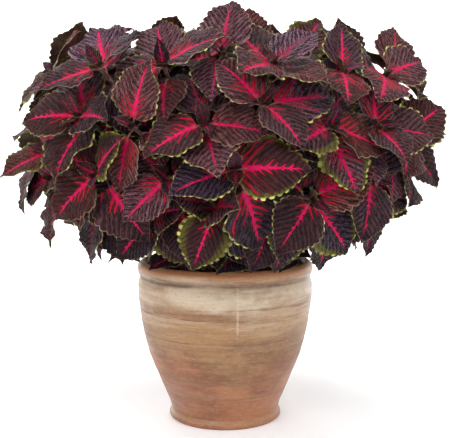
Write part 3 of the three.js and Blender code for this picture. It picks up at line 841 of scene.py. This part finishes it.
def make_leaf_master(name, teeth, per_tooth, columns, width, thickness, relief):
    """A flat blade of length 1 along X, its surface raised between the veins, with thickness."""
    rows = teeth * per_tooth
    bpy.ops.mesh.primitive_grid_add(x_subdivisions=rows, y_subdivisions=columns, size=1,
                                    location=(0, 0, 0))
    master = just_added(name)
    mesh = master.data
    flat = places_of(mesh)
    row = np.rint((flat[:, 0] + 0.5) * rows).astype(int)
    share = flat[:, 1] * 2
    # columns draw together towards the edge
    share = 0.35 * share + 0.65 * np.sin(share * np.pi / 2)
    u_rows = edge_rows(rows, width)
    phase = (row % per_tooth) / per_tooth
    scallop = np.sin(np.pi * phase) ** 0.6
    u = u_rows[row]
    half = half_width(u) * width
    half[row == 0] = PETIOLE_RADIUS / LEAF_LENGTH
    from_rib = np.abs(share)
    at_edge = from_rib**4
    near_tip = np.clip((1 - u) / 0.12, 0, 1)
    v = share * half * (1 + at_edge * near_tip * TOOTH_DEPTH * (scallop - 0.55))
    u = u + at_edge * 0.008 * scallop * near_tip * (u > 0.01)
    v[row == rows] = 0

    aside = np.abs(v)
    # veins start along the rib and lean forward; the lowest ones radiate from the blade's base
    start = u - 0.9 * aside - 0.6 * aside**2
    radial = 0.3 * start / np.maximum(np.hypot(u, aside), 1e-6)
    start = np.where(start < 0, np.maximum(start, radial), start)
    vein = start / VEIN_GAP + 0.5
    ridge = np.cos(2 * np.pi * vein) * 0.55 + 0.12 * np.cos(2 * np.pi * (vein * 2 + aside * 16))
    fade = np.clip(from_rib / 0.3, 0, 1) * (1 - 0.5 * from_rib**3)
    height = relief * (0.85 * ridge * fade - 0.8 * np.exp(-((aside / 0.03) ** 2)))
    height += relief * 0.5 * at_edge * (scallop - 0.5) * near_tip
    set_places(mesh, np.column_stack([u, v, height * MM]))

    uv = mesh.uv_layers.active
    uv.name = "blade"
    corners = np.empty(len(mesh.loops), int)
    mesh.loops.foreach_get("vertex_index", corners)
    uv.uv.foreach_set("vector", np.column_stack([u, v + 0.5])[corners].astype(np.float32).ravel())
    form = mesh.attributes.new("blade_form", "FLOAT_COLOR", "POINT")
    values = np.column_stack([from_rib, scallop, vein, aside])
    form.data.foreach_set("color", values.astype(np.float32).ravel())

    mesh.materials.append(LEAF_UPPER)
    mesh.materials.append(LEAF_UNDER)
    start_editing(master, select=True)
    bpy.ops.mesh.remove_doubles(threshold=1e-5)
    stop_editing()
    upper = len(mesh.vertices)
    apply_modifier(master, "SOLIDIFY", thickness=thickness * MM, offset=-1, material_offset=1,
                   material_offset_rim=0)
    places = places_of(mesh)
    under = np.arange(len(places)) >= upper
    rib = np.exp(-((places[:, 1] / 0.02) ** 2)) * np.clip(1.05 - places[:, 0], 0, 1)
    places[:, 2] -= under * rib * 0.9 * MM
    set_places(mesh, places)
    smooth_by_angle(master, 50)
    mesh.attributes.new("blade_look", "FLOAT_COLOR", "POINT")
    master["width"] = width
    return master


LARGE = make_leaf_master("large_leaf_master", 13, 3, 8, 0.46, 0.6, 2.1)
SMALL = make_leaf_master("small_leaf_master", 8, 3, 6, 0.30, 0.5, 1.2)
MIDDLE = make_leaf_master("middle_leaf_master", 12, 2, 6, 0.44, 0.6, 1.1)
INNER = make_leaf_master("inner_leaf_master", 9, 2, 4, 0.44, 0.6, 0.8)
YOUNG = make_leaf_master("young_leaf_master", 5, 2, 4, 0.30, 0.4, 0.4)

# ---- leaves on the plant


def set_look(piece, look):
    """The same look at every point: rust with painted backlit glow, green, pink and seed, 0 to 1.
    """
    colour = np.tile(np.array(look, np.float32), len(piece.data.vertices))
    piece.data.attributes["blade_look"].data.foreach_set("color", colour)


def grow_leaf(master, pose, look, name, ruffle, curl):
    """A copy of a master, bent to its pose. ruffle is the height, number and phase of the waves
    along the edge, and curl is how far the tip bends down. Both heights are in mm."""
    leaf = copy_of(master, name)
    places = places_of(master.data)
    u, v, rise = places[:, 0], places[:, 1] * pose["width"] / master["width"], places[:, 2] / MM
    amount, waves, phase = ruffle
    side = np.where(v < 0, 1.7, 0)
    edge = np.abs(v) / (pose["width"] * np.maximum(half_width(u), 0.12))
    scale = pose["length"] / LEAF_LENGTH
    wave = np.sin(2 * np.pi * (waves * u + phase) + side) * np.clip(u * 5, 0, 1)
    rise = rise * scale + amount * scale * edge**2.2 * wave
    rise = rise - curl * scale * np.clip((u - 0.55) / 0.45, 0, 1) ** 2
    set_places(leaf.data, blade_places(pose, u, v, rise) * MM)
    set_look(leaf, look)
    return leaf


def look_of(leaf, rng):
    """Rust, green, pink and seed. Leaves at the top and the sides are the rustiest and show the
    fewest green edges, as painted backlit glow, and the lowest ones are the greenest."""
    middle = leaf["pose"]["base"] + leaf["pose"]["along"] * leaf["pose"]["length"] / 2
    # how far a leaf is out at the top or at the sides, where it gets painted backlit glow
    outer = max(np.clip((middle.z - 540) / 70, 0, 1),
                np.clip((math.hypot(middle.x, middle.y) - 240) / 80, 0, 1))
    low = np.clip((390 - middle.z) / 90, 0, 1)
    rust_and_backlight = np.clip(rng.normal(0.3 + 0.42 * outer, 0.22), 0, 1)
    odds = np.array([0.24 - 0.1 * low + 0.1 * outer, 0.62 - 0.2 * outer, 0.14 + 0.1 * low])
    green = rng.choice([0.05, rng.uniform(0.2, 0.5), rng.uniform(0.6, 1.0)], p=odds / odds.sum())
    pink = np.clip(rng.normal(0.58 - 0.26 * low, 0.32), 0.1, 1)
    if leaf["pair"] == 0:
        rust_and_backlight, pink = rust_and_backlight * 0.7, pink * 0.6
    # Leaves of the lower pairs, deep inside the mound, are made darker: painted shade.
    if leaf["pair"] >= len(PAIRS):
        rust_and_backlight, pink = rust_and_backlight * 0.5, pink * 0.7
    # The seed also sets how much painted lilac sheen shows. Low leaves get less of it, as painted
    # shade.
    return rust_and_backlight, green, pink, rng.rand() * (1 - 0.75 * low)


def label(leaf):
    return f"{leaf['shoot']['index']}_{leaf['pair']}_{leaf['side']}"


def add_leaf(leaf, master, name, heights, waves):
    """Grows a leaf with a drawn look, and a ruffle and a curl drawn from the given ranges."""
    ruffle = (rng.uniform(*heights), rng.uniform(*waves), rng.rand())
    foliage[leaf["shoot"]["stem"]].append(grow_leaf(
        master, leaf["pose"], look_of(leaf, rng), name, ruffle, rng.uniform(0, 2.5)))


foliage = {number: [] for number in range(1, len(stems) + 1)}
rng = np.random.RandomState(11)
for leaf in leaves:
    add_leaf(leaf, LARGE if leaf["pair"] else SMALL, f"leaf_{label(leaf)}", (1.4, 4.0), (1.4, 3.2))

# ---- leaves between the large ones

# Rules like those of PAIRS for leaves that only show behind and between the others: three pairs
# lower down each shoot, and the pair that is still in its bud.
LOWER_PAIRS = [
    ((50, 56), 82, 0.44, 24, 62, 84, 32, True),
    ((84, 92), 76, 0.44, 26, 66, 80, 30, True),
    ((118, 126), 66, 0.44, 22, 66, 76, 28, True),
]
BUD_PAIR = ((1, 2), 17, 0.30, 1, 40, 16, 10, False)
LOWER_SWINGS = [0, 16, -16, 32, -32, 48, -48]
LOWER_LIFTS = [0, -14, 14, -28, 28, -42, 42]
LOWER_SIZES = [1, 0.86, 0.72, 0.6]
CLEAR = 1.6  # how far an added leaf keeps from what is there, mm
SHOOT_ROOM, PETIOLE_ROOM, NEW_PETIOLE_ROOM = 2.5, 1.3, 1.4  # radii of the sleeves round them
NEARBY = 330  # a leaf further than this from a shoot's tip can't touch its leaves
# Added leaves leave the pot's rim in sight, and end higher the further out they are.
LOWEST_NODE, LOWEST_TIP, SKIRT_RADIUS, SKIRT_SLOPE = SOIL_TOP + 45, 256, 205, 0.9

# a blade as a sheet of three columns, to look for room with
SPARSE_U = np.repeat(np.linspace(0.02, 1, 7), 3)
SPARSE_SIDE = np.tile([-1.0, 0.0, 1.0], 7)
SPARSE_FACES = [
    (3 * i + j, 3 * i + j + 1, 3 * i + j + 4, 3 * i + j + 3) for i in range(6) for j in range(2)
]


def sparse_blade(pose, rise=0):
    v = SPARSE_SIDE * half_width(SPARSE_U) * pose["width"]
    return blade_places(pose, SPARSE_U, v, np.full(len(v), float(rise))), SPARSE_FACES


def sheet_of(piece):
    return places_of(piece.data) / MM, [tuple(face.vertices) for face in piece.data.polygons]


def tree_of(sheets):
    places, faces = [], []
    for sheet, sheet_faces in sheets:
        faces += [tuple(i + len(places) for i in face) for face in sheet_faces]
        places += [tuple(p) for p in sheet]
    return BVHTree.FromPolygons(places, faces)


def tube_sheet(line, radius):
    """A three-sided sleeve round a line of points."""
    line = np.array([tuple(p) for p in line])
    ways = np.array([(1, 0, 0), (-0.5, 0.87, 0), (-0.5, -0.87, 0)]) * radius
    places = (line[:, None, :] + ways[None]).reshape(-1, 3)
    faces = [
        (3 * i + j, 3 * i + (j + 1) % 3, 3 * i + 3 + (j + 1) % 3, 3 * i + 3 + j)
        for i in range(len(line) - 1) for j in range(3)
    ]
    return places, faces


# ---- stems and petioles

# rust, green, youth and seed, of which a stem's skin shows its youth
TRUNK_LOOK, SHOOT_LOOK = (0.8, 0.2, 0.0, 0.5), (0.5, 0.3, 0.35, 0.5)
PETIOLE_LOOK = (0.5, 0.3, 0.9, 0.5)
PETIOLE_RADII = [1.9, 1.55, 1.35, 1.25, 1.2, 1.2, 1.2, 1.25, 1.3, 1.0, 0.5]
SHOOT_STEPS = 18  # along the bent part of a shoot
STRAIGHT_STEPS = (24, 19, 14, 9, 6.5, 4, 2, 0)  # below the tip, along the straight part
SWOLLEN, SWELLING = (5, 9, 13, 18, 19), 1.14  # the steps at a shoot's joints, and how thick
TAPER, TAPER_STEPS = 0.9, 5  # how much thicker a shoot starts, and over how many steps
PETIOLE_STEPS, TRUNK_STEPS = 8, 9
UNDER_BLADE = ((3, 0.1), (7, 0.3))  # where a petiole runs on, along and under the blade


def make_tube_master(name, sides, rings, squareness):
    """A tube of radius 1 from Z 0 to 1. Squareness draws its section towards a square."""
    bpy.ops.mesh.primitive_cylinder_add(vertices=sides, radius=1, depth=1, location=(0, 0, 0.5))
    master = just_added(name)
    bpy.ops.object.transform_apply()
    start_editing(master)
    bpy.ops.mesh.select_mode(type="EDGE")
    stop_editing()
    for edge in master.data.edges:
        a, b = (master.data.vertices[i].co.z for i in edge.vertices)
        edge.select = abs(a - b) > 0.5
    bpy.ops.object.mode_set(mode="EDIT")
    bpy.ops.mesh.subdivide(number_cuts=rings - 1)
    stop_editing()
    places = places_of(master.data)
    turn = np.arctan2(places[:, 1], places[:, 0])
    radius = 1 - squareness * (0.5 + 0.5 * np.cos(4 * turn))
    places[:, :2] *= radius[:, None]
    set_places(master.data, places)
    smooth_by_angle(master, 50)
    master.data.materials.append(STEM_SKIN)
    master.data.attributes.new("blade_look", "FLOAT_COLOR", "POINT")
    return master


TRUNK_TUBE = make_tube_master("trunk_master", 12, 14, 0.14)
SHOOT_TUBE = make_tube_master("shoot_master", 12, 26, 0.14)
PETIOLE_TUBE = make_tube_master("petiole_master", 6, 6, 0)


def sweep(master, name, line, radii, across, look):
    """A copy of a tube master along a line of points, mm, its flat facing across."""
    tube = copy_of(master, name)
    places = places_of(master.data)
    line = np.array([tuple(p) for p in line])
    tangent = np.gradient(line, axis=0)
    tangent /= np.linalg.norm(tangent, axis=1)[:, None]
    across = np.array(tuple(across))
    ahead = across - tangent * (tangent @ across)[:, None]
    ahead /= np.linalg.norm(ahead, axis=1)[:, None]
    beside = np.cross(tangent, ahead)
    at = places[:, 2] * (len(line) - 1)
    low = np.clip(at.astype(int), 0, len(line) - 2)
    part = (at - low)[:, None]

    def between(values):
        return values[low] * (1 - part) + values[low + 1] * part

    offset = places[:, :1] * between(ahead) + places[:, 1:2] * between(beside)
    moved = between(line) + between(np.array(radii, float)[:, None]) * offset
    set_places(tube.data, moved * MM)
    set_look(tube, look)
    return tube


def bezier(a, b, c, d, count):
    return [
        a * (1 - t) ** 3 + b * (3 * t * (1 - t) ** 2) + c * (3 * t * t * (1 - t)) + d * t**3
        for t in (i / count for i in range(count + 1))
    ]


def at_height(point, height):
    return Vector((point.x, point.y, height))


def shoot_line(stem, shoot):
    """A shoot's middle line, from inside its trunk to its tip, its radii and its first side."""
    top = SOIL_TOP + FORKS[-1]
    if shoot["level"] < 2:
        top = SOIL_TOP + (FORKS[shoot["level"]] + FORKS[shoot["level"] + 1]) / 2
    start = at_height(stem["foot"], top)
    joint = shoot["tip"] - shoot["axis"] * LOWEST_RING
    way = joint - start
    first = (way.normalized() + 0.35 * UP).normalized()
    line = bezier(start, start + first * way.length * 0.16,
                  joint - shoot["axis"] * way.length * 0.14, joint, SHOOT_STEPS)
    line += [shoot["tip"] - shoot["axis"] * below for below in STRAIGHT_STEPS]
    radii = [SHOOT_RADIUS + TAPER * (1 - min(1, i / TAPER_STEPS)) for i in range(SHOOT_STEPS + 1)]
    count = len(STRAIGHT_STEPS)
    radii += [SHOOT_RADIUS + (TIP_RADIUS - SHOOT_RADIUS) * (i + 1) / count for i in range(count)]
    for step in SWOLLEN:
        radii[step] *= SWELLING
    spin = rad(shoot["spin"])
    return line, radii, shoot["above"] * math.cos(spin) + shoot["beside"] * math.sin(spin)


def petiole_line(leaf):
    """The middle line of a leaf's stalk, from its stem to a little way under the blade."""
    pose = leaf["pose"]
    start = pose["node"]
    under = pose["base"] - pose["facing"] * 0.9
    reach = (under - start).length
    first = (pose["outward"] + leaf["shoot"]["axis"]).normalized()
    line = bezier(start, start + first * reach * 0.35, under - pose["along"] * reach * 0.35,
                  under, PETIOLE_STEPS)
    return line + [under + pose["along"] * ahead - pose["facing"] * below
                   for ahead, below in UNDER_BLADE]


def add_petiole(leaf, name):
    foliage[leaf["shoot"]["stem"]].append(sweep(
        PETIOLE_TUBE, name, petiole_line(leaf), PETIOLE_RADII, leaf["pose"]["facing"],
        PETIOLE_LOOK))


obstacles = [sparse_blade(leaf["pose"]) for leaf in leaves]
for number, stem in enumerate(stems, 1):
    heights = np.linspace(SOIL_TOP - ROOT_DEPTH, SOIL_TOP + FORKS[-1], TRUNK_STEPS)
    line = [at_height(stem["foot"], h) for h in heights]
    corner = Matrix.Rotation(rad(-45), 3, "Z") @ stem["outward"]
    foliage[number].append(sweep(TRUNK_TUBE, f"trunk_{number}", line,
                                 [TRUNK_RADIUS] * TRUNK_STEPS, corner, TRUNK_LOOK))
    for shoot in stem["shoots"]:
        shoot["line"], radii, across = shoot_line(stem, shoot)
        obstacles.append(tube_sheet(shoot["line"][3:], SHOOT_ROOM))
        foliage[number].append(sweep(SHOOT_TUBE, f"shoot_{shoot['index']}", shoot["line"], radii,
                                     across, SHOOT_LOOK))
for leaf in leaves:
    if leaf["pair"]:
        obstacles.append(tube_sheet(petiole_line(leaf), PETIOLE_ROOM))
        add_petiole(leaf, f"petiole_{label(leaf)}")


def point_below(shoot, below):
    """The point of a shoot's middle line that is so far below its tip, and the way up it there."""
    run = 0
    for upper, lower in zip(reversed(shoot["line"]), reversed(shoot["line"][:-1])):
        step = (upper - lower).length
        if run + step >= below:
            way = (upper - lower).normalized()
            return upper - way * (below - run), way
        run += step
    return None, None


def lower_leaf_pose(shoot, nth, side, lift, swing, size):
    """A pose for a leaf of one of the pairs lower down, on the bent part of the shoot."""
    rules = LOWER_PAIRS[nth]
    node, way = point_below(shoot, sum(rules[0]) / 2)
    if node is None or node.z < LOWEST_NODE:
        return None
    axis = (way + 0.35 * shoot["axis"]).normalized()
    above = on_plane(UP, axis)
    lower = {**shoot, "tip": node + axis * sum(rules[0]) / 2, "axis": axis, "above": above,
             "beside": axis.cross(above)}
    return leaf_pose(lower, len(PAIRS) + nth, side, lift, swing, size, rules)


def room_for(pose, petiole, tree):
    """Whether a blade, thickened by CLEAR on both sides, and its petiole miss a tree."""
    sheets = [sparse_blade(pose, rise) for rise in (-CLEAR, CLEAR)]
    sheets.append(tube_sheet(petiole[3:], NEW_PETIOLE_ROOM))
    return not tree.overlap(tree_of(sheets))


def find_lower_leaves():
    """The lower leaves that there is room for, a pair down every shoot at a time."""
    added = []
    walls = [sheet_of(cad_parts[name]) for name in ("pot", "soil")]
    for nth in range(len(LOWER_PAIRS)):
        tree, new = tree_of(obstacles + walls), []
        for shoot, side in itertools.product(shoots, range(2)):
            leaf = place_lower_leaf(shoot, nth, side, tree, new)
            if leaf:
                new.append(leaf)
        added += new
        obstacles.extend(sparse_blade(leaf["pose"]) for leaf in new)
        obstacles.extend(tube_sheet(petiole_line(leaf), PETIOLE_ROOM) for leaf in new)
    return added


def place_lower_leaf(shoot, nth, side, tree, new):
    """The first placing of a lower leaf that is clear of the tree and of the new leaves near it."""
    near = [sparse_blade(leaf["pose"]) for leaf in new
            if (leaf["pose"]["base"] - shoot["tip"]).length < NEARBY]
    beside = tree_of(near) if near else None
    for size, swing, lift in itertools.product(LOWER_SIZES, LOWER_SWINGS, LOWER_LIFTS):
        pose = lower_leaf_pose(shoot, nth, side, lift, swing, size)
        if pose is None:
            return None
        tip = blade_tip(pose)
        outer = max(0, math.hypot(tip.x, tip.y) - SKIRT_RADIUS)
        if tip.z < LOWEST_TIP + SKIRT_SLOPE * outer:
            continue
        leaf = {"shoot": shoot, "pair": len(PAIRS) + nth, "side": side, "pose": pose}
        petiole = petiole_line(leaf)
        if room_for(pose, petiole, tree) and (not beside or room_for(pose, petiole, beside)):
            return leaf
    return None


for leaf in find_lower_leaves():
    master = MIDDLE if leaf["pair"] == len(PAIRS) else INNER
    add_leaf(leaf, master, f"lower_leaf_{label(leaf)}", (0.8, 2.2), (1.0, 2.2))
    add_petiole(leaf, f"lower_petiole_{label(leaf)}")
bud = len(PAIRS) + len(LOWER_PAIRS)
for shoot, side in itertools.product(shoots, range(2)):
    pose = leaf_pose({**shoot, "spin": shoot["spin"] + 90}, bud, side, rules=BUD_PAIR)
    foliage[shoot["stem"]].append(grow_leaf(
        YOUNG, pose, (0.3, rng.uniform(0.2, 0.5), 0.3, rng.rand()),
        f"bud_leaf_{shoot['index']}_{side}", (0.2, 1.5, rng.rand()), 0))

# ---- pieces

for number, parts in foliage.items():
    piece = join_pieces(parts, f"leafy_stem_{number:02d}_grown")
    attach(piece, "root")
    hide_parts(f"leafy_stem_{number:02d}")
for master in (LARGE, SMALL, MIDDLE, INNER, YOUNG, TRUNK_TUBE, SHOOT_TUBE, PETIOLE_TUBE):
    bpy.data.objects.remove(master)

# ---- stage, lights and camera

FLOOR_RADIUS, COVE_RADIUS, WALL_TOP = 2600, 1400, 3600
CAMERA_PLACE, CAMERA_PITCH = (0.008, -1.442, 0.466), 5.85
SENSOR_WIDTH, FOCAL_PIXELS, PICTURE_WIDTH = 36, 907, 460


def make_backdrop():
    """A wide pale floor that curves up all round, far outside the object."""
    cove = [(FLOOR_RADIUS + COVE_RADIUS * math.sin(rad(a)), COVE_RADIUS * (1 - math.cos(rad(a))))
            for a in range(0, 91, 9)]
    wall = (FLOOR_RADIUS + COVE_RADIUS, WALL_TOP)
    backdrop = turn_up("backdrop", [*cove, wall], 96, closed=False)
    smooth_by_angle(backdrop, 60)
    backdrop.data.materials.append(make_backdrop_paint())


def soft_lamp(name, place, size, power, towards=(0, 0, 0.36)):
    lamp = bpy.data.lights.new(name, "AREA")
    lamp.shape, lamp.size, lamp.size_y = "RECTANGLE", *size
    lamp.energy = power
    holder = bpy.data.objects.new(name, lamp)
    holder.location = place
    holder.rotation_euler = (Vector(towards) - Vector(place)).to_track_quat("-Z", "Y").to_euler()
    scene.collection.objects.link(holder)


make_backdrop()
soft_lamp("key_lamp", (-0.9, -1.9, 2.2), (2.0, 2.0), 46)
soft_lamp("fill_lamp", (1.9, -1.5, 1.0), (1.4, 1.6), 6)
soft_lamp("top_lamp", (0.1, 0.2, 2.6), (1.4, 1.4), 42)
soft_lamp("back_lamp", (-0.4, 2.2, 1.5), (1.8, 1.0), 13)
soft_lamp("wall_lamp", (0, 1.4, 1.9), (2.4, 1.0), 90, towards=(0, 4, 0.6))

world = bpy.data.worlds.new("studio")
world.use_nodes = True
background = world.node_tree.nodes["Background"].inputs
background["Color"].default_value = (1, 1, 1, 1)
background["Strength"].default_value = 0.08
scene.world = world
scene.view_settings.view_transform = "Standard"

camera_data = bpy.data.cameras.new("camera")
camera_data.sensor_width = SENSOR_WIDTH
camera_data.lens = SENSOR_WIDTH * FOCAL_PIXELS / PICTURE_WIDTH
camera = bpy.data.objects.new("camera", camera_data)
camera.location = CAMERA_PLACE
camera.rotation_euler = (rad(90 - CAMERA_PITCH), 0, 0)
scene.collection.objects.link(camera)
scene.camera = camera
